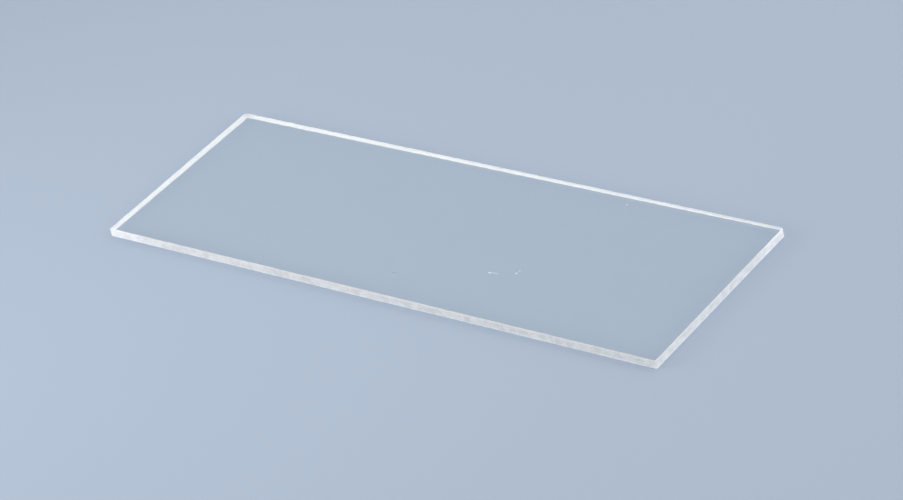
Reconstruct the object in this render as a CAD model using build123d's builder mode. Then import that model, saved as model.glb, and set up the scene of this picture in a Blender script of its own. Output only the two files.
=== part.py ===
from build123d import *
import os

# A plain microscope slide: one pane of clear glass with ground edges.
# Millimetres. The origin is at the centre of the underside. +X runs along the slide, +Y across it
# and +Z up through the glass.

# Driving dimensions
slide_length = 76.0  # long side, between the two ground ends
slide_width = 26.0  # short side, between the two ground long edges
slide_thickness = 1.1  # between the two polished faces
front_corner_clip = 0.2  # dubbed off the two front corners, measured along both sides
back_right_corner_radius = 0.6  # rounded off the back right corner
back_left_corner_radius = 0.8  # rounded off the back left corner
top_arris_width = 0.15  # fine arris round the specimen face, measured across the face
top_arris_height = 0.15  # the same arris, measured down the ground edge
underside_arris_width = 0.42  # wider, shallower arris round the underside, measured across the face
underside_arris_height = 0.15  # the same arris, measured up the ground edge
back_left_arris_width = 0.58  # to which it widens along the left end, towards the back
back_right_arris_width = 0.10  # to which it narrows along the back edge, towards the right

# The ground ends and long edges, from the middle
end = slide_length / 2
edge = slide_width / 2


def arris_plane(first: Vector, last: Vector, brow: Vector) -> Plane:
    """The plane of one arris, facing outward, with its border on the underside from first to last
    (counter-clockwise as seen from above) and its border on the ground edge through brow."""
    border = last - first
    return Plane(origin=first, x_dir=border, z_dir=border.cross(brow - first))


underside_arrises = (
    arris_plane(  # along the front edge
        Vector(-end, -edge + underside_arris_width),
        Vector(end, -edge + underside_arris_width),
        Vector(end, -edge, underside_arris_height),
    ),
    arris_plane(  # along the right end
        Vector(end - underside_arris_width, -edge),
        Vector(end - underside_arris_width, edge),
        Vector(end, edge, underside_arris_height),
    ),
    arris_plane(  # along the back edge, narrower towards the right
        Vector(end, edge - back_right_arris_width),
        Vector(-end, edge - underside_arris_width),
        Vector(-end, edge, underside_arris_height),
    ),
    arris_plane(  # along the left end, wider towards the back
        Vector(-end + back_left_arris_width, edge),
        Vector(-end + underside_arris_width, -edge),
        Vector(-end, -edge, underside_arris_height),
    ),
)

with BuildPart() as glass_slide:
    # The pane as it is cut from the sheet
    with BuildSketch(Plane.XY):
        Rectangle(slide_length, slide_width)
    extrude(amount=slide_thickness)

    # The arris round the underside, ground edge by edge
    for arris in underside_arrises:
        split(bisect_by=arris, keep=Keep.BOTTOM)

    # The four upright corners, taken off so that they don't cut the fingers
    with BuildSketch(Plane.XY) as dubbed_outline:
        Rectangle(slide_length, slide_width)
        chamfer(dubbed_outline.vertices().group_by(Axis.Y)[0], length=front_corner_clip)
        back_right_corner = dubbed_outline.vertices().group_by(Axis.Y)[-1].sort_by(Axis.X)[-1]
        fillet(back_right_corner, radius=back_right_corner_radius)
        back_left_corner = dubbed_outline.vertices().group_by(Axis.Y)[-1].sort_by(Axis.X)[0]
        fillet(back_left_corner, radius=back_left_corner_radius)
    extrude(amount=slide_thickness, mode=Mode.INTERSECT)

    # The arris round the specimen face, which follows the corners
    specimen_face = glass_slide.faces().sort_by(Axis.Z)[-1]
    chamfer(specimen_face.edges(), length=top_arris_width, length2=top_arris_height, reference=specimen_face)

glass_slide.part.label = "glass_slide"

os.makedirs("parts", exist_ok=True)
export_step(glass_slide.part, "parts/glass_slide.step")
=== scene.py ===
"""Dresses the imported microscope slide: one pane of clear glass with ground edges, on a plain pale floor."""

import logging
import math
from collections.abc import Callable, Iterable
from dataclasses import dataclass, field
from enum import Enum, IntEnum

import bmesh
import bpy
from mathutils import Euler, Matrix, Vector


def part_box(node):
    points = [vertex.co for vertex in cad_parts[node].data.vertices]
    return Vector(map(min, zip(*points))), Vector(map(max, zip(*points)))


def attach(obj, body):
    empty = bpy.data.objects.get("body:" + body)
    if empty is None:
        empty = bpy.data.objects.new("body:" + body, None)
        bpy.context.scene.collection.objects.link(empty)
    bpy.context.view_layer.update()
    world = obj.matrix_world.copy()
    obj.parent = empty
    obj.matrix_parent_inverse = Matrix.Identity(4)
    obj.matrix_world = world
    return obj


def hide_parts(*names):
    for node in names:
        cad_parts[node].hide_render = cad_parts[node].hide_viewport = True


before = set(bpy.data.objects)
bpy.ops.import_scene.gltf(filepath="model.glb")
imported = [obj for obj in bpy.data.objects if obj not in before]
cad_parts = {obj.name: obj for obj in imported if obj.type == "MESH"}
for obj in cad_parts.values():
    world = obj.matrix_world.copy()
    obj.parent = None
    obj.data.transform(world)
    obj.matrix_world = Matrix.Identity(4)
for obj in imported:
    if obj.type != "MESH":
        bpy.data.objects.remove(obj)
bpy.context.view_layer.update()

Colour = tuple[float, float, float]
Element = bmesh.types.BMVert | bmesh.types.BMEdge | bmesh.types.BMFace
MM = 0.001
MOST_CUTS = 100  # the most that one subdivide makes
MERGE_DISTANCE = 0.0005 * MM  # vertices nearer than this to each other become one
CUT_TOLERANCE = 0.0001 * MM  # vertices nearer than this to a cutting plane are on it
SODA_LIME_IOR = 1.52
WHITE: Colour = (1.0, 1.0, 1.0)
SHARE_RANGE = (0.0, 1.0)
NOISE_RANGE = (0.3, 0.7)  # where nearly all values of a noise texture are

log = logging.getLogger("microscope_slide")


class Surface(IntEnum):
    """The piece's material slots, in their order on the mesh."""

    POLISHED = 0
    GROUND = 1
    ARRIS = 2
    DUST = 3
    DRIED = 4


class Part(Enum):
    """What an edit-mode selection picks."""

    VERTS = "VERT"
    EDGES = "EDGE"
    FACES = "FACE"


class Mixture(Enum):
    """What a Mix node mixes, with its two inputs and its output for that."""

    NUMBERS = ("FLOAT", 2, 3, 0)
    COLOURS = ("RGBA", 6, 7, 2)


# ---------------------------------------------------------------------------------------------------------
# Small helpers for operators and nodes


def deselect_everything() -> None:
    """Leaves edit mode and clears the selection, so that an operator acts on what is picked next."""
    if bpy.context.object and bpy.context.object.mode != "OBJECT":
        bpy.ops.object.mode_set(mode="OBJECT")
    bpy.ops.object.select_all(action="DESELECT")


def make_active(piece: bpy.types.Object) -> None:
    """Makes one object the only selected and active one.

    Args:
        piece: The object that the next operators act on.
    """
    deselect_everything()
    piece.select_set(True)
    bpy.context.view_layer.objects.active = piece


def pick(piece: bpy.types.Object, part: Part, wanted: Callable[[Element], bool]) -> None:
    """Selects vertices, edges or faces of the mesh in edit mode by a test on each.

    Args:
        piece: The object in edit mode.
        part: Which of its elements are tested.
        wanted: Says for an element whether it is to be selected.
    """
    bpy.context.tool_settings.mesh_select_mode = tuple(part is p for p in Part)
    bpy.ops.mesh.select_all(action="DESELECT")
    mesh = bmesh.from_edit_mesh(piece.data)
    elements = {Part.VERTS: mesh.verts, Part.EDGES: mesh.edges, Part.FACES: mesh.faces}[part]
    for element in [e for e in elements if wanted(e)]:
        element.select_set(True)
    mesh.select_flush_mode()
    bmesh.update_edit_mesh(piece.data)


def apply_modifier(piece: bpy.types.Object, modifier: bpy.types.Modifier) -> None:
    """Applies one modifier, so that its result is the mesh.

    Args:
        piece: The object that carries the modifier.
        modifier: The modifier to apply.
    """
    make_active(piece)
    bpy.ops.object.modifier_apply(modifier=modifier.name)


class NodeTree:
    """A node tree that is put together by short calls."""

    def __init__(self, owner: bpy.types.Material | bpy.types.World) -> None:
        """Empties the owner's node tree and keeps hold of it.

        Args:
            owner: The material or world that the nodes belong to.
        """
        owner.use_nodes = True
        self.tree = owner.node_tree
        self.tree.nodes.clear()

    def add(self, kind: str, properties: dict[str, object] | None = None,
            **sockets: object) -> bpy.types.Node:
        """Adds a node.

        Args:
            kind: The node's type, without its ShaderNode prefix.
            properties: Settings of the node itself, such as its operation.
            **sockets: Input values or sources by socket name, with _ for a space.

        Returns:
            The new node.
        """
        node = self.tree.nodes.new("ShaderNode" + kind)
        for name, value in (properties or {}).items():
            setattr(node, name, value)
        for name, value in sockets.items():
            self.feed(node, name.replace("_", " "), value)
        return node

    def feed(self, node: bpy.types.Node, socket: str | int, value: object) -> None:
        """Links a source to an input, or sets the input's own value.

        Args:
            node: The node that takes it.
            socket: The input's name or place.
            value: An output socket, a number or a colour.
        """
        target = node.inputs[socket]
        if isinstance(value, bpy.types.NodeSocket):
            self.tree.links.new(value, target)
        elif target.type == "RGBA" and len(value) == 3:
            target.default_value = (*value, 1.0)
        else:
            target.default_value = value

    def maths(self, operation: str, *values: object) -> bpy.types.NodeSocket:
        """Adds a Math node.

        Args:
            operation: The sum it does.
            *values: Its inputs in order.

        Returns:
            Its output.
        """
        node = self.add("Math", {"operation": operation})
        for place, value in enumerate(values):
            self.feed(node, place, value)
        return node.outputs[0]

    def vector(self, operation: str, *values: object, out: str = "Vector") -> bpy.types.NodeSocket:
        """Adds a Vector Math node.

        Args:
            operation: What it does.
            *values: Its inputs in order.
            out: The name of the output that is wanted.

        Returns:
            That output.
        """
        node = self.add("VectorMath", {"operation": operation})
        for place, value in enumerate(values):
            self.feed(node, place, value)
        return node.outputs[out]

    def noise(self, place: bpy.types.NodeSocket, scale: float, detail: float) -> bpy.types.NodeSocket:
        """Adds a noise texture.

        Args:
            place: The coordinates that it follows.
            scale: How many of its waves go into a unit of length.
            detail: How many finer layers it has.

        Returns:
            Its value, about 0.5 on average.
        """
        return self.add("TexNoise", None, Vector=place, Scale=scale, Detail=detail).outputs["Fac"]

    def remap(self, value: bpy.types.NodeSocket, source: tuple[float, float],
              target: tuple[float, float]) -> bpy.types.NodeSocket:
        """Carries a value from one range to another, held to its ends.

        Args:
            value: The value to carry over.
            source: The range it comes in.
            target: The range it leaves in.

        Returns:
            The output that holds it.
        """
        node = self.add("MapRange", None, Value=value, From_Min=source[0], From_Max=source[1],
                        To_Min=target[0], To_Max=target[1])
        return node.outputs["Result"]

    def blend(self, factor: object, first: object, second: object,
              mixture: Mixture = Mixture.COLOURS) -> bpy.types.NodeSocket:
        """Mixes two colours or two numbers.

        Args:
            factor: The share of the second, from 0 to 1.
            first: A value or an output.
            second: A value or an output.
            mixture: What the two are.

        Returns:
            The mixed value's output.
        """
        kind, first_input, second_input, output = mixture.value
        node = self.add("Mix", {"data_type": kind})
        self.feed(node, 0, factor)
        self.feed(node, first_input, first)
        self.feed(node, second_input, second)
        return node.outputs[output]

    def layer(self, factor: object, first: bpy.types.Node, second: bpy.types.Node) -> bpy.types.Node:
        """Mixes two shaders.

        Args:
            factor: The share of the second, from 0 to 1.
            first: A shader's node.
            second: A shader's node.

        Returns:
            The mixed shader's node.
        """
        node = self.add("MixShader")
        self.feed(node, 0, factor)
        self.feed(node, 1, first.outputs[0])
        self.feed(node, 2, second.outputs[0])
        return node


def seen_by_eye(nodes: NodeTree) -> bpy.types.NodeSocket:
    """Tells what a camera sees, straight or in a mirror or through glass, from light on its way.

    Args:
        nodes: The tree that it is added to.

    Returns:
        An output that is 1 for what is seen.
    """
    path = nodes.add("LightPath")
    mirrored = nodes.maths("MAXIMUM", path.outputs["Is Glossy Ray"], path.outputs["Is Transmission Ray"])
    return nodes.maths("MAXIMUM", path.outputs["Is Camera Ray"], mirrored)


def passed_by_light(nodes: NodeTree, shader: bpy.types.Node, share: float, shade: Colour) -> bpy.types.Node:
    """Lets a share of lamp light and bounced light go straight through a shader that an eye sees whole.

    Args:
        nodes: The tree that it is added to.
        shader: What an eye sees.
        share: How much of the light passes, from 0 to 1.
        shade: The tint of the light that passes.

    Returns:
        The mixed shader's node.
    """
    path = nodes.add("LightPath")
    on_its_way = nodes.maths("MAXIMUM", path.outputs["Is Shadow Ray"], path.outputs["Is Diffuse Ray"])
    passing = nodes.maths("MULTIPLY", on_its_way, share)
    return nodes.layer(passing, shader, nodes.add("BsdfTransparent", None, Color=shade))


# ---------------------------------------------------------------------------------------------------------
# Finishes


@dataclass(frozen=True)
class PolishedGlass:
    """Clear, colourless float glass with a polished face.

    Args:
        tint: The colour of what is seen through one face.
        shade: The tint of the light that passes.
        roughness: How far it is from a perfect polish.
    """

    tint: Colour = (0.985, 0.995, 0.992)
    shade: Colour = (0.965, 0.972, 0.97)
    roughness: float = 0.01

    def material(self) -> bpy.types.Material:
        """Makes the polished glass.

        Returns:
            The material.
        """
        made = bpy.data.materials.new("polished_glass")
        nodes = NodeTree(made)
        shader = nodes.add("BsdfPrincipled", None, Base_Color=self.tint, Roughness=self.roughness,
                           IOR=SODA_LIME_IOR, Transmission_Weight=1.0)
        glass = passed_by_light(nodes, shader, 1.0, self.shade)
        nodes.add("OutputMaterial", None, Surface=glass.outputs[0])
        return made


@dataclass(frozen=True)
class Dirt:
    """What lies on the glass: pale and matt, and more or less see-through.

    Args:
        name: The material's name.
        clearness: How much of it is see-through, from 0 to 1.
        colour: Its colour.
        roughness: How matt it is.
        ior: How strongly it bends light.
    """

    name: str
    clearness: float = 0.0
    colour: Colour = (0.86, 0.84, 0.88)
    roughness: float = 0.7
    ior: float = 1.4

    def material(self) -> bpy.types.Material:
        """Makes the dirt.

        Returns:
            The material.
        """
        made = bpy.data.materials.new(self.name)
        nodes = NodeTree(made)
        shader = nodes.add("BsdfPrincipled", None, Base_Color=self.colour, Roughness=self.roughness,
                           IOR=self.ior, Transmission_Weight=self.clearness)
        nodes.add("OutputMaterial", None, Surface=shader.outputs[0])
        return made


@dataclass(frozen=True)
class GroundGlass:
    """Glass that a fine wheel has left white: matt, with a grain and faint lines along the edge.

    Args:
        name: The material's name.
        bright: Its colour in the white patches.
        dull: Its colour in the dull patches.
        contrast: The whiteness at which it is all dull, and that at which it is all bright.
        mottle_size: The size of the patches, in metres.
        mottle_share: How much the patches count in the whiteness.
        grain_size: The size of the grain, in metres.
        grain_share: How much the grain counts in the whiteness.
        line_pitch: How far apart the wheel's lines are, in metres.
        line_length: How long they are, in metres.
        line_share: How much the lines count in the whiteness.
        relief: How deep grain and lines are together, in metres.
        grain_relief: The grain's share of the relief.
        line_relief: The lines' share of the relief.
        roughness: Its least and its greatest roughness.
        clear_from_outside: How much of it is see-through from outside, from 0 to 1.
        clear_from_inside: The same from inside the glass.
        painted_glow_from_inside: How far its colour goes towards painted_glow_colour where it is seen from
            inside the glass, from 0 to 1: painted light, a glow standing in for the light that real ground
            glass lets in and scatters.
        painted_glow_colour: The near-white of that painted glow.
        lets_through: How much of the light on its way it lets pass, from 0 to 1.
        shade: The tint of the light that passes.
    """

    name: str
    bright: Colour = (0.97, 0.97, 0.975)
    dull: Colour = (0.77, 0.78, 0.80)
    contrast: tuple[float, float] = (0.41, 0.57)
    mottle_size: float = 0.9 * MM
    mottle_share: float = 0.45
    grain_size: float = 0.12 * MM
    grain_share: float = 0.35
    line_pitch: float = 0.11 * MM
    line_length: float = 2.5 * MM
    line_share: float = 0.2
    relief: float = 0.01 * MM
    grain_relief: float = 0.7
    line_relief: float = 0.3
    roughness: tuple[float, float] = (0.5, 0.72)
    clear_from_outside: float = 0.30
    clear_from_inside: float = 0.0
    # painted light: seen from inside, the colour is pushed towards near-white as a painted glow
    painted_glow_from_inside: float = 0.45
    painted_glow_colour: Colour = (0.99, 0.99, 0.99)
    lets_through: float = 0.6
    shade: Colour = (0.96, 0.965, 0.97)

    def material(self) -> bpy.types.Material:
        """Makes the ground glass.

        Returns:
            The material.
        """
        made = bpy.data.materials.new(self.name)
        nodes = NodeTree(made)
        where = nodes.add("TexCoord")
        place = where.outputs["Object"]
        grain = nodes.noise(place, 1.0 / self.grain_size, 2.0)
        mottle = nodes.noise(place, 1.0 / self.mottle_size, 5.0)
        lines = self.grinding_lines(nodes, place, where.outputs["Normal"])
        fine = nodes.maths("MULTIPLY_ADD", grain, self.grain_share,
                           nodes.maths("MULTIPLY", lines, self.line_share))
        whiteness = nodes.maths("MULTIPLY_ADD", mottle, self.mottle_share, fine)
        colour = nodes.blend(nodes.remap(whiteness, self.contrast, SHARE_RANGE), self.dull, self.bright)
        inside = nodes.add("NewGeometry").outputs["Backfacing"]
        # Painted glow: seen from inside the glass, the colour is blended towards near-white in place of the
        # light that real ground glass carries in
        painted_glow = nodes.maths("MULTIPLY", inside, self.painted_glow_from_inside)
        height = nodes.maths("MULTIPLY_ADD", grain, self.grain_relief,
                             nodes.maths("MULTIPLY", lines, self.line_relief))
        bump = nodes.add("Bump", None, Strength=1.0, Distance=self.relief, Height=height)
        shader = nodes.add("BsdfPrincipled", None, Base_Color=nodes.blend(painted_glow, colour, self.painted_glow_colour),
                           Roughness=nodes.remap(grain, NOISE_RANGE, self.roughness), IOR=SODA_LIME_IOR,
                           Transmission_Weight=self.clearness(nodes, inside),
                           Normal=bump.outputs["Normal"])
        glass = passed_by_light(nodes, shader, self.lets_through, self.shade)
        nodes.add("OutputMaterial", None, Surface=glass.outputs[0])
        return made

    def clearness(self, nodes: NodeTree, inside: bpy.types.NodeSocket) -> bpy.types.NodeSocket:
        """Lets light into the glass, but none out: from inside, the fine facets throw it all back.

        Args:
            nodes: The tree that it is added to.
            inside: An output that is 1 where the surface is seen from inside.

        Returns:
            The transmission weight's output.
        """
        return nodes.remap(inside, SHARE_RANGE, (self.clear_from_outside, self.clear_from_inside))

    def grinding_lines(self, nodes: NodeTree, place: bpy.types.NodeSocket,
                       normal: bpy.types.NodeSocket) -> bpy.types.NodeSocket:
        """Draws faint lines that run along whichever edge they are on.

        Args:
            nodes: The tree they are added to.
            place: The Object coordinate.
            normal: The surface's own direction.

        Returns:
            The lines' value, about 0.5 on average.
        """
        at = nodes.add("SeparateXYZ", None, Vector=place)
        facing = nodes.add("SeparateXYZ", None, Vector=nodes.vector("ABSOLUTE", normal))
        on_an_end = nodes.maths("GREATER_THAN", facing.outputs["X"], facing.outputs["Y"])
        along = nodes.blend(on_an_end, at.outputs["X"], at.outputs["Y"], Mixture.NUMBERS)
        stretched = nodes.add("CombineXYZ", None, X=nodes.maths("DIVIDE", along, self.line_length),
                              Y=nodes.maths("DIVIDE", at.outputs["Z"], self.line_pitch), Z=on_an_end)
        return nodes.noise(stretched.outputs[0], 1.0, 2.0)


@dataclass(frozen=True)
class PaleFloor:
    """A plain pale blue-grey floor, nearly matt.

    Args:
        colour: Its colour, which is the backdrop's too.
        roughness: How matt it is.
        clouds_per_metre: How fine its faint clouds are.
        cloud_shade: How much the clouds darken and lighten it.
        fade: How far from the slide its fading into the backdrop begins and ends, in metres.
    """

    colour: Colour = (0.42, 0.50, 0.62)
    roughness: float = 0.75
    clouds_per_metre: float = 6.0
    cloud_shade: tuple[float, float] = (0.985, 1.015)
    fade: tuple[float, float] = (0.10, 0.24)

    def material(self) -> bpy.types.Material:
        """Makes the floor's finish, which a camera under the floor sees through.

        Returns:
            The material.
        """
        made = bpy.data.materials.new("pale_floor")
        nodes = NodeTree(made)
        place = nodes.add("TexCoord").outputs["Object"]
        clouds = nodes.noise(place, self.clouds_per_metre, 2.0)
        colour = nodes.vector("SCALE", self.colour)
        nodes.feed(colour.node, "Scale", nodes.remap(clouds, NOISE_RANGE, self.cloud_shade))
        surface = nodes.add("BsdfPrincipled", None, Base_Color=colour, Roughness=self.roughness)
        backdrop = nodes.add("Emission", None, Color=self.colour)
        top = nodes.layer(self.faded(nodes, place), surface, backdrop)
        from_below = nodes.add("NewGeometry").outputs["Backfacing"]
        either = nodes.layer(from_below, top, nodes.add("BsdfTransparent"))
        nodes.add("OutputMaterial", None, Surface=either.outputs[0])
        return made

    def faded(self, nodes: NodeTree, place: bpy.types.NodeSocket) -> bpy.types.NodeSocket:
        """Fades the floor into the backdrop, away from the slide, for what an eye sees.

        Args:
            nodes: The tree that it is added to.
            place: The Object coordinate.

        Returns:
            An output that is 0 round the slide and 1 far from it.
        """
        away = nodes.vector("LENGTH", place, out="Value")
        return nodes.maths("MULTIPLY", nodes.remap(away, self.fade, SHARE_RANGE), seen_by_eye(nodes))


# ---------------------------------------------------------------------------------------------------------
# The slide


@dataclass(frozen=True)
class Speck:
    """A low, rounded mark on the specimen face: a grain of dust, a hair or a dried spot.

    Args:
        place: Where its middle is, in metres from the middle of the slide.
        reach: Half its length and half its width, along X and Y, in metres.
        surface: What it is made of.
    """

    place: tuple[float, float]
    reach: tuple[float, float]
    surface: Surface = Surface.DUST


@dataclass(frozen=True)
class DubbedCorner:
    """An upright corner that the wheel has taken off in one or more flats.

    Args:
        corner: Which corner it is, as its signs along X and Y.
        reach: How far it reaches along both edges, in metres.
        flats: How many flats it is made of.
    """

    corner: tuple[int, int]
    reach: float
    flats: int = 1


@dataclass
class GlassSlide:
    """The pane: two polished faces, ground edges, an arris round each face and dubbed corners.

    Args:
        low: Lowest corner of the CAD pane.
        high: Highest corner of the CAD pane.
        arris_height: How far both arrises reach along the ground edges, in metres.
        top_arris_width: How far the fine arris reaches across the specimen face, in metres.
        underside_arris_width: How far the wide arris reaches across the underside, in metres.
        back_left_arris_width: To which that widens along the left end, towards the back.
        back_right_arris_width: To which it narrows along the back edge, towards the right.
        flat_slope: How nearly level the two polished faces are, at least, as their normal's Z.
        arris_slope: The same for the arrises, where the ground edges have about 0.
        wall_slack: How far from the upright sides a vertex still counts as on them, in metres.
        spanning: The share of a side from which an edge counts as running its whole length.
        grid_step: The length of the steps along the edges, in metres.
        wall_rows: How many rows of faces the ground edges have.
        arris_rows: How many rows of faces each arris has.
        rim_waver: How far the arrises' borders on the faces range to and fro, in metres.
        brow_waver: The same of their borders on the ground edges.
        waver_length: How long the waves are, in metres.
        waver_depth: How many finer layers they have.
        crease_angle: From how many degrees an edge of the pane stays sharp.
        polished: The finish of the two faces.
        ground: The finish of the ground edges.
        arris: The finish of the arrises.
        dust: The stuff of the dust and the hair.
        dried: The stuff of the dried spot.
        corners: The four corners.
        speck_height: How high the specks are, in metres.
        speck_gap: How far their flat feet are above the face, in metres.
        speck_segments: How many faces a speck has round it.
        speck_rings: How many rows of faces its whole sphere would have.
        speck_crease_angle: From how many degrees an edge of a speck stays sharp.
        specks: What lies on the specimen face.
    """

    low: Vector
    high: Vector
    arris_height: float = 0.15 * MM
    top_arris_width: float = 0.15 * MM
    underside_arris_width: float = 0.42 * MM
    back_left_arris_width: float = 0.58 * MM
    back_right_arris_width: float = 0.10 * MM
    flat_slope: float = 0.99
    arris_slope: float = 0.3
    wall_slack: float = 0.01 * MM
    spanning: float = 0.9
    grid_step: float = 0.2 * MM
    wall_rows: int = 4
    arris_rows: int = 3
    rim_waver: float = 0.12 * MM
    brow_waver: float = 0.05 * MM
    waver_length: float = 1.3 * MM
    waver_depth: int = 3
    crease_angle: float = 12.0
    polished: PolishedGlass = field(default_factory=PolishedGlass)
    ground: GroundGlass = field(default_factory=lambda: GroundGlass("ground_edge"))
    arris: GroundGlass = field(default_factory=lambda: GroundGlass(
        "seamed_arris", bright=(0.96, 0.96, 0.965), dull=(0.84, 0.85, 0.865), grain_size=0.16 * MM,
        relief=0.014 * MM, clear_from_outside=0.33))
    dust: Dirt = field(default_factory=lambda: Dirt("dust"))
    dried: Dirt = field(default_factory=lambda: Dirt("dried_spot", clearness=0.7))
    corners: tuple[DubbedCorner, ...] = (
        DubbedCorner((-1, -1), 0.2 * MM),
        DubbedCorner((1, -1), 0.2 * MM),
        DubbedCorner((1, 1), 0.6 * MM, flats=5),
        DubbedCorner((-1, 1), 0.8 * MM, flats=5),
    )
    speck_height: float = 0.03 * MM
    speck_gap: float = 0.001 * MM
    speck_segments: int = 24
    speck_rings: int = 12
    speck_crease_angle: float = 60.0
    specks: tuple[Speck, ...] = (
        Speck((0.8 * MM, -8.9 * MM), (0.24 * MM, 0.22 * MM), Surface.DRIED),
        Speck((11.2 * MM, -5.3 * MM), (0.15 * MM, 0.12 * MM)),
        Speck((11.8 * MM, -5.2 * MM), (0.55 * MM, 0.03 * MM)),
        Speck((14.2 * MM, -4.4 * MM), (0.11 * MM, 0.13 * MM)),
        Speck((14.3 * MM, -3.9 * MM), (0.07 * MM, 0.09 * MM)),
        Speck((18.6 * MM, 11.1 * MM), (0.10 * MM, 0.08 * MM)),
    )

    @property
    def size(self) -> Vector:
        """Length, width and thickness."""
        return self.high - self.low

    @property
    def middle(self) -> Vector:
        """Centre of the pane."""
        return (self.low + self.high) / 2

    def build(self) -> bpy.types.Object:
        """Models and dresses the pane.

        Returns:
            The finished piece, at the origin with its place in its mesh.
        """
        pane = self.cut_blank()
        self.seam_arrises(pane)
        self.divide_lengthwise(pane)
        self.let_rims_waver(pane)
        self.divide_crosswise(pane)
        self.close_faces(pane)
        for corner in self.corners:
            self.dub(pane, corner)
        self.finish_mesh(pane)
        for speck in self.specks:
            self.drop_speck(pane, speck)
        return pane

    def cut_blank(self) -> bpy.types.Object:
        """Adds the sharp-edged blank at its size and place, with its finishes.

        Returns:
            The blank.
        """
        deselect_everything()
        bpy.ops.mesh.primitive_cube_add(size=1.0, location=self.middle, scale=self.size)
        pane = bpy.context.object
        pane.name = "slide_pane"
        pane.data.name = "slide_pane"
        bpy.ops.object.transform_apply(location=True, rotation=True, scale=True)
        for finish in (self.polished, self.ground, self.arris, self.dust, self.dried):
            pane.data.materials.append(finish.material())
        return pane

    def seam_arrises(self, pane: bpy.types.Object) -> None:
        """Slopes a narrow strip round each face, and leaves the two faces open for now.

        The strip round the underside is the wider one. It widens along the left end, and narrows along
        the back edge towards the right.

        Args:
            pane: The blank.
        """
        bpy.ops.object.mode_set(mode="EDIT")
        for upward, width in ((1, self.top_arris_width), (-1, self.underside_arris_width)):
            pick(pane, Part.FACES, lambda f, up=upward: f.normal.z * up > self.flat_slope)
            bpy.ops.mesh.inset(thickness=width)
            pick(pane, Part.VERTS,
                 lambda v, up=upward: self.is_on_wall(v) and (v.co.z - self.middle.z) * up > 0)
            bpy.ops.transform.translate(value=(0.0, 0.0, -upward * self.arris_height))
        widening = self.back_left_arris_width - self.underside_arris_width
        self.shift_back_corner(pane, -1, (widening, 0.0, 0.0))
        narrowing = self.underside_arris_width - self.back_right_arris_width
        self.shift_back_corner(pane, 1, (0.0, narrowing, 0.0))
        pick(pane, Part.FACES, lambda f: abs(f.normal.z) > self.flat_slope)
        bpy.ops.mesh.delete(type="ONLY_FACE")
        bpy.ops.object.mode_set(mode="OBJECT")

    def shift_back_corner(self, pane: bpy.types.Object, side: int, shift: tuple[float, float, float]) -> None:
        """Moves one of the two back corners of the arris's border on the underside.

        Args:
            pane: The pane in edit mode, with its arrises.
            side: -1 for the left corner and 1 for the right one.
            shift: How far it moves, in metres.
        """
        underside = self.low.z + self.arris_height / 2
        pick(pane, Part.VERTS, lambda v: v.co.z < underside and v.co.y > self.middle.y
             and (v.co.x - self.middle.x) * side > 0)
        bpy.ops.transform.translate(value=shift)

    def is_on_wall(self, vertex: bmesh.types.BMVert) -> bool:
        """Tells whether a vertex is on one of the four upright sides.

        Args:
            vertex: The vertex to test.

        Returns:
            True if it is.
        """
        away = vertex.co - self.middle
        half = self.size / 2
        return abs(away.x) > half.x - self.wall_slack or abs(away.y) > half.y - self.wall_slack

    def divide_lengthwise(self, pane: bpy.types.Object) -> None:
        """Divides every strip into short steps along its edge, coarsely and then finely.

        Args:
            pane: The pane with its arrises.
        """
        bpy.ops.object.mode_set(mode="EDIT")
        for axis in (0, 1):
            span = self.spanning * self.size[axis]
            coarse = math.ceil(self.size[axis] / self.grid_step / MOST_CUTS)
            fine = round(self.size[axis] / self.grid_step / coarse)
            for parts in (coarse, fine):
                pick(pane, Part.EDGES,
                     lambda e, i=axis, s=span: abs(e.verts[0].co[i] - e.verts[1].co[i]) > s)
                bpy.ops.mesh.subdivide(number_cuts=parts - 1)
                span /= parts
        bpy.ops.object.mode_set(mode="OBJECT")

    def let_rims_waver(self, pane: bpy.types.Object) -> None:
        """Lets the arrises' two border lines waver, as hand seaming leaves them.

        Args:
            pane: The pane with its strips divided lengthwise.
        """
        half = self.size.z / 2
        rims, brows = [], []
        for vertex in pane.data.vertices:
            height = abs(vertex.co.z - self.middle.z)
            (rims if height > half - self.arris_height / 2 else brows).append(vertex.index)
        pane.vertex_groups.new(name="rims").add(rims, 1.0, "REPLACE")
        pane.vertex_groups.new(name="brows").add(brows, 1.0, "REPLACE")
        self.waver(pane, "rims", "X", self.rim_waver)
        self.waver(pane, "rims", "Y", self.rim_waver)
        self.waver(pane, "brows", "Z", self.brow_waver)

    def waver(self, pane: bpy.types.Object, group: str, axis: str, width: float) -> None:
        """Moves a group of vertices to and fro along one axis by a smooth noise.

        Args:
            pane: The piece.
            group: The name of the vertex group that moves.
            axis: X, Y or Z.
            width: How far the noise ranges, in metres.
        """
        noise = bpy.data.textures.new(f"{group}_noise", "CLOUDS")
        noise.noise_scale = self.waver_length
        noise.noise_depth = self.waver_depth
        modifier = pane.modifiers.new(f"{group}_{axis}", "DISPLACE")
        modifier.texture = noise
        modifier.texture_coords = "LOCAL"
        modifier.direction = axis
        modifier.mid_level = 0.5
        modifier.strength = width
        modifier.vertex_group = group
        apply_modifier(pane, modifier)

    def divide_crosswise(self, pane: bpy.types.Object) -> None:
        """Divides the upright sides and the arrises into rows.

        Args:
            pane: The pane with wavering rims.
        """
        bpy.ops.object.mode_set(mode="EDIT")
        tall = self.size.z / 2
        for rows, shortest, longest in ((self.wall_rows, tall, self.size.z),
                                        (self.arris_rows, self.arris_height / 2, tall)):
            pick(pane, Part.EDGES,
                 lambda e, a=shortest, b=longest: a < abs(e.verts[0].co.z - e.verts[1].co.z) < b)
            bpy.ops.mesh.subdivide(number_cuts=rows - 1)
        bpy.ops.object.mode_set(mode="OBJECT")

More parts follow.
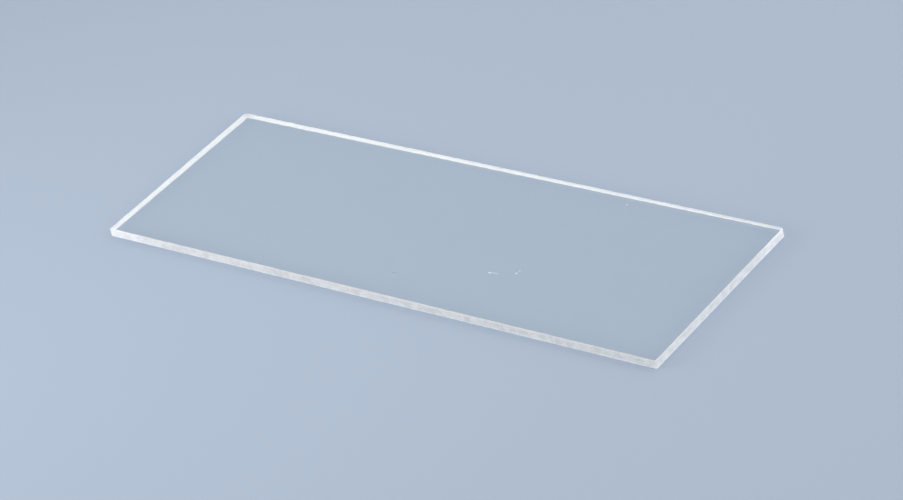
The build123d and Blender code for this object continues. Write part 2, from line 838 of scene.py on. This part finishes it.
    def close_faces(self, pane: bpy.types.Object) -> None:
        """Closes the underside and the specimen face, each as one flat face.

        Args:
            pane: The ring of ground strips.
        """
        bpy.ops.object.mode_set(mode="EDIT")
        for upward in (1, -1):
            pick(pane, Part.EDGES,
                 lambda e, up=upward: e.is_boundary and (e.verts[0].co.z - self.middle.z) * up > 0)
            bpy.ops.mesh.edge_face_add()
        bpy.ops.mesh.select_all(action="SELECT")
        bpy.ops.mesh.normals_make_consistent(inside=False)
        bpy.ops.object.mode_set(mode="OBJECT")

    def dub(self, pane: bpy.types.Object, dubbed: DubbedCorner) -> None:
        """Grinds the flats off one upright corner, and seams their upper ends.

        Args:
            pane: The closed pane.
            dubbed: The corner and how it is taken off.
        """
        sign_x, sign_y = dubbed.corner
        centre = Vector((self.middle.x + sign_x * (self.size.x / 2 - dubbed.reach),
                         self.middle.y + sign_y * (self.size.y / 2 - dubbed.reach),
                         self.high.z - self.arris_height))
        turns = [math.pi / 2 * step / dubbed.flats for step in range(dubbed.flats + 1)]
        brows = [centre + Vector((sign_x * math.cos(turn), sign_y * math.sin(turn), 0.0)) * dubbed.reach
                 for turn in turns]
        seam = Vector((0.0, 0.0, self.top_arris_width))
        make_active(pane)
        bpy.ops.object.mode_set(mode="EDIT")
        for first, second in zip(brows, brows[1:]):
            outward = (first + second) / 2 - centre
            self.grind_flat(first, outward)
            self.grind_flat(first, outward.normalized() * self.arris_height + seam)
        bpy.ops.object.mode_set(mode="OBJECT")

    def grind_flat(self, place: Vector, outward: Vector) -> None:
        """Takes off all that stands proud of a plane, and closes the cut.

        Args:
            place: A point of the plane.
            outward: The direction that the new flat faces.
        """
        bpy.ops.mesh.select_all(action="SELECT")
        bpy.ops.mesh.bisect(plane_co=place, plane_no=outward.normalized(), use_fill=True,
                            clear_outer=True, threshold=CUT_TOLERANCE)

    def finish_mesh(self, pane: bpy.types.Object) -> None:
        """Cleans the mesh, gives each face its finish and smooths what isn't a crease.

        Args:
            pane: The modelled pane.
        """
        make_active(pane)
        pane.vertex_groups.clear()
        bpy.ops.object.mode_set(mode="EDIT")
        bpy.ops.mesh.select_all(action="SELECT")
        bpy.ops.mesh.remove_doubles(threshold=MERGE_DISTANCE)
        bpy.ops.mesh.normals_make_consistent(inside=False)
        bpy.ops.object.mode_set(mode="OBJECT")
        for face in pane.data.polygons:
            slope = abs(face.normal.z)
            if slope > self.flat_slope:
                face.material_index = Surface.POLISHED
            else:
                face.material_index = Surface.ARRIS if slope > self.arris_slope else Surface.GROUND
        bpy.ops.object.shade_smooth_by_angle(angle=math.radians(self.crease_angle))

    def drop_speck(self, pane: bpy.types.Object, speck: Speck) -> None:
        """Lays one closed, dome-shaped grain on the specimen face and joins it to the piece.

        Args:
            pane: The finished pane.
            speck: The grain's place, size and stuff.
        """
        foot = Vector((*speck.place, self.high.z))
        deselect_everything()
        bpy.ops.mesh.primitive_uv_sphere_add(segments=self.speck_segments, ring_count=self.speck_rings,
                                             radius=1.0, location=foot,
                                             scale=(*speck.reach, self.speck_height))
        grain = bpy.context.object
        bpy.ops.object.transform_apply(location=True, rotation=True, scale=True)
        grain.data.materials.append(pane.data.materials[speck.surface])
        bpy.ops.object.mode_set(mode="EDIT")
        foot.z += self.speck_gap
        self.grind_flat(foot, Vector((0.0, 0.0, -1.0)))
        bpy.ops.object.mode_set(mode="OBJECT")
        bpy.ops.object.shade_smooth_by_angle(angle=math.radians(self.speck_crease_angle))
        pane.select_set(True)
        bpy.context.view_layer.objects.active = pane
        bpy.ops.object.join()


# ---------------------------------------------------------------------------------------------------------
# The studio


@dataclass(frozen=True)
class Softbox:
    """A square area lamp that points at the slide.

    Args:
        name: What it is called.
        azimuth: Where it stands, in degrees from -Y towards +X.
        elevation: How high it stands, in degrees.
        distance: How far from the slide it is, in metres.
        side: The length of its side, in metres.
        power: Its power in watts.
        colour: Its colour.
        spread: How wide its beam is, in degrees.
    """

    name: str
    azimuth: float
    elevation: float
    distance: float
    side: float
    power: float
    colour: Colour = WHITE
    spread: float = 180.0


def direction(azimuth: float, elevation: float) -> Vector:
    """Points from the slide to a place round it.

    Args:
        azimuth: Degrees from -Y towards +X.
        elevation: Degrees above the floor.

    Returns:
        A vector of length 1.
    """
    a, e = math.radians(azimuth), math.radians(elevation)
    return Vector((math.sin(a) * math.cos(e), -math.cos(a) * math.cos(e), math.sin(e)))


@dataclass
class Studio:
    """Floor, lamps, surrounding light and camera.

    Args:
        floor_side: The length of the floor's side, in metres.
        air_gap: How far the floor is below the slide, in metres.
        floor: The floor's finish.
        zenith_light: How strong the surrounding light is from above.
        horizon_light: How strong it is from the side and from below.
        camera_azimuth: Where the camera stands, in degrees from -Y towards +X.
        camera_elevation: How high it stands, in degrees.
        camera_roll: How far it leans to the side, in degrees.
        camera_distance: How far it is from what it aims at, in metres.
        camera_aim: The place that it aims at.
        lens: Its focal length, in millimetres.
        sensor_width: The width of its sensor, in millimetres.
        nearest: The nearest that it sees, in metres.
        softboxes: The lamps.
    """

    floor_side: float = 6.0
    air_gap: float = 0.02 * MM
    floor: PaleFloor = field(default_factory=PaleFloor)
    zenith_light: float = 0.28
    horizon_light: float = 1.20
    camera_azimuth: float = 42.79
    camera_elevation: float = 32.41
    camera_roll: float = 13.37
    camera_distance: float = 415.3 * MM
    camera_aim: Vector = field(default_factory=lambda: Vector((3.22, -1.78, 0.0)) * MM)
    lens: float = 149.2
    sensor_width: float = 36.0
    nearest: float = 0.01
    softboxes: tuple[Softbox, ...] = (
        Softbox("key_softbox", -46.0, 20.0, 0.24, 0.10, 0.05, (1.0, 0.985, 0.96), 70.0),
        Softbox("back_softbox", 172.0, 42.0, 0.9, 0.7, 2.28),
        Softbox("side_softbox", 93.0, 18.0, 0.7, 0.5, 2.15, (0.97, 0.985, 1.0)),
    )

    def lay_floor(self) -> None:
        """Lays the floor a hair below the slide, as the air film under real glass is."""
        deselect_everything()
        bpy.ops.mesh.primitive_plane_add(size=self.floor_side, location=(0.0, 0.0, -self.air_gap))
        floor = bpy.context.object
        floor.name = "floor"
        bpy.ops.object.transform_apply(location=True, rotation=True, scale=True)
        floor.data.materials.append(self.floor.material())

    def hang_softboxes(self) -> None:
        """Adds the lamps, each pointing at the slide. They light it, but are neither seen nor mirrored."""
        for box in self.softboxes:
            deselect_everything()
            towards = direction(box.azimuth, box.elevation)
            turn = towards.to_track_quat("Z", "Y").to_euler()
            bpy.ops.object.light_add(type="AREA", location=towards * box.distance, rotation=turn)
            lamp = bpy.context.object
            lamp.name = box.name
            lamp.data.size = box.side
            lamp.data.energy = box.power
            lamp.data.color = box.colour
            lamp.data.spread = math.radians(box.spread)
            lamp.visible_camera = False
            lamp.visible_glossy = False
            lamp.visible_transmission = False

    def fill_air(self) -> None:
        """Sets the light from all round, and the pale backdrop that a camera, a mirror or glass sees."""
        world = bpy.data.worlds.new("studio_air")
        bpy.context.scene.world = world
        nodes = NodeTree(world)
        sky = nodes.add("TexCoord").outputs["Generated"]
        height = nodes.add("SeparateXYZ", None, Vector=sky).outputs["Z"]
        strength = nodes.remap(height, SHARE_RANGE, (self.horizon_light, self.zenith_light))
        light = nodes.add("Background", None, Color=WHITE, Strength=strength)
        backdrop = nodes.add("Background", None, Color=self.floor.colour, Strength=1.0)
        either = nodes.layer(seen_by_eye(nodes), light, backdrop)
        nodes.add("OutputWorld", None, Surface=either.outputs[0])

    def place_camera(self) -> None:
        """Places the camera, which looks down on the slide from its right with a lean to the side."""
        back = direction(self.camera_azimuth, self.camera_elevation)
        roll = Euler((0.0, 0.0, -math.radians(self.camera_roll))).to_quaternion()
        turn = back.to_track_quat("Z", "Y") @ roll
        deselect_everything()
        bpy.ops.object.camera_add(location=self.camera_aim + back * self.camera_distance,
                                  rotation=turn.to_euler())
        camera = bpy.context.object
        camera.name = "camera"
        camera.data.lens = self.lens
        camera.data.sensor_width = self.sensor_width
        camera.data.clip_start = self.nearest
        bpy.context.scene.camera = camera

    def build(self) -> None:
        """Sets up everything round the slide."""
        bpy.context.scene.view_settings.view_transform = "Standard"
        self.lay_floor()
        self.hang_softboxes()
        self.fill_air()
        self.place_camera()


def main() -> None:
    """Builds the slide and the studio in order, and reports each piece."""
    logging.basicConfig(level=logging.INFO, format="%(name)s: %(message)s")
    slide = GlassSlide(*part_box("glass_slide"))
    pane = slide.build()
    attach(pane, "root")
    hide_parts("glass_slide")
    log.info("%s: %d faces, %.1f x %.1f x %.2f mm", pane.name, len(pane.data.polygons),
             *(side / MM for side in slide.size))
    Studio().build()
    log.info("studio: floor, lamps and camera in place")


if __name__ == "__main__":
    main()
